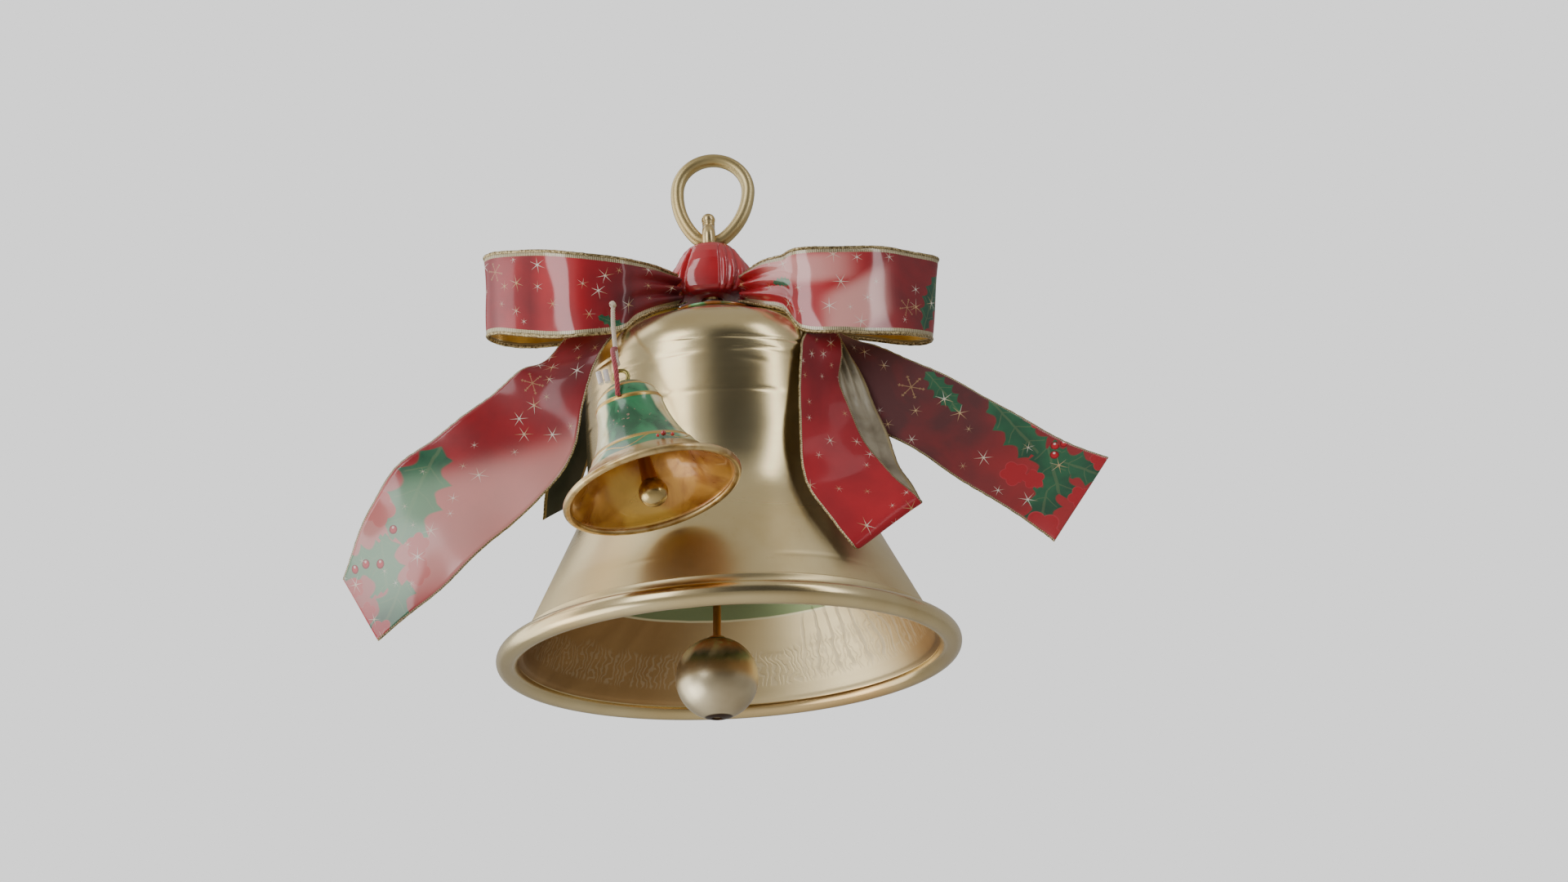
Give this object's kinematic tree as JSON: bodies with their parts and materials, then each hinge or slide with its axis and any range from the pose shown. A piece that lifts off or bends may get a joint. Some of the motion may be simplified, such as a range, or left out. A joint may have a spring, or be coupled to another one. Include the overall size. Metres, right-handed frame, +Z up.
{
  "type": "christmas bell ornament",
  "caption": "Hanging gold bell ornament with a ring, a swinging ball clapper, a printed ribbon bow with tails and a small enamelled bell on a cord.",
  "frame": {"origin": "inside of the hanging ring's top, where a hook or branch carries the ornament", "axes": "+Z up along the bell's axis, the bow and the small bell face -Y, +X to the viewer's right"},
  "size_m": [0.1967, 0.1473, 0.162],
  "materials": {
    "satin_gold": "satin champagne gold",
    "polished_gold": "polished gold",
    "dark_brass": "aged bronze brass",
    "steel": "zinc plated",
    "cap_enamel": "blue-grey lacquer",
    "ribbon": "glossy printed ribbon",
    "ribbon_reverse": "dark green ribbon reverse",
    "cord": "cream cord",
    "cord_red": "red and white twisted cord",
    "green_enamel": "green enamel over gold"
  },
  "bodies": {
    "ring": {"hanging_ring": "satin_gold"},
    "bell": {"hanger_eye": "satin_gold", "crown_cap": "cap_enamel", "bell_shell": "satin_gold", "inner_washer": "steel", "crown_nut": "dark_brass", "clapper_staple": "dark_brass", "bow_knot": "ribbon", "bow_tie_wire": "steel", "bow_loop_left": "ribbon", "bow_loop_right": "ribbon", "tail_left": "ribbon", "tail_right": "ribbon", "tail_rear": "ribbon_reverse", "droop_loop": "ribbon", "cord_knot": "cord"},
    "link": {"clapper_link": "dark_brass"},
    "clapper": {"clapper_rod": "dark_brass", "clapper_ball": "polished_gold"},
    "cord": {"mini_cord": "cord", "cord_twist": "cord_red"},
    "mini_bell": {"mini_bell_shell": "green_enamel", "mini_hanger": "dark_brass", "mini_nut": "dark_brass", "cord_ends": "cord"},
    "mini_clapper": {"mini_clapper_stem": "dark_brass", "mini_clapper_ball": "polished_gold"}
  },
  "joints": [
    {"name": "bell_swing", "type": "hinge", "parent": "ring", "child": "bell", "pos_m": [-0.00248, 0, -0.02362], "axis": [1, 0, 0], "range_deg": [-60, 60]},
    {"name": "link_swing", "type": "hinge", "parent": "bell", "child": "link", "pos_m": [-0.00248, 0, -0.06307], "axis": [1, 0, 0], "range_deg": [-18, 18]},
    {"name": "clapper_swing", "type": "hinge", "parent": "link", "child": "clapper", "pos_m": [-0.00248, 0, -0.06792], "axis": [0, 1, 0], "range_deg": [-20.6, 15.4]},
    {"name": "cord_swing", "type": "hinge", "parent": "bell", "child": "cord", "pos_m": [-0.02768, -0.0263, -0.05247], "axis": [-1, 0, 0], "range_deg": [0, 35]},
    {"name": "mini_bell_tilt", "type": "hinge", "parent": "cord", "child": "mini_bell", "pos_m": [-0.0236, -0.06306, -0.08671], "axis": [-1, 0, 0], "range_deg": [0, 25]},
    {"name": "mini_clapper_swing", "type": "hinge", "parent": "mini_bell", "child": "mini_clapper", "pos_m": [-0.0215, -0.06391, -0.09614], "axis": [0.9759, 0, 0.2181], "range_deg": [-20, 20]}
  ]
}
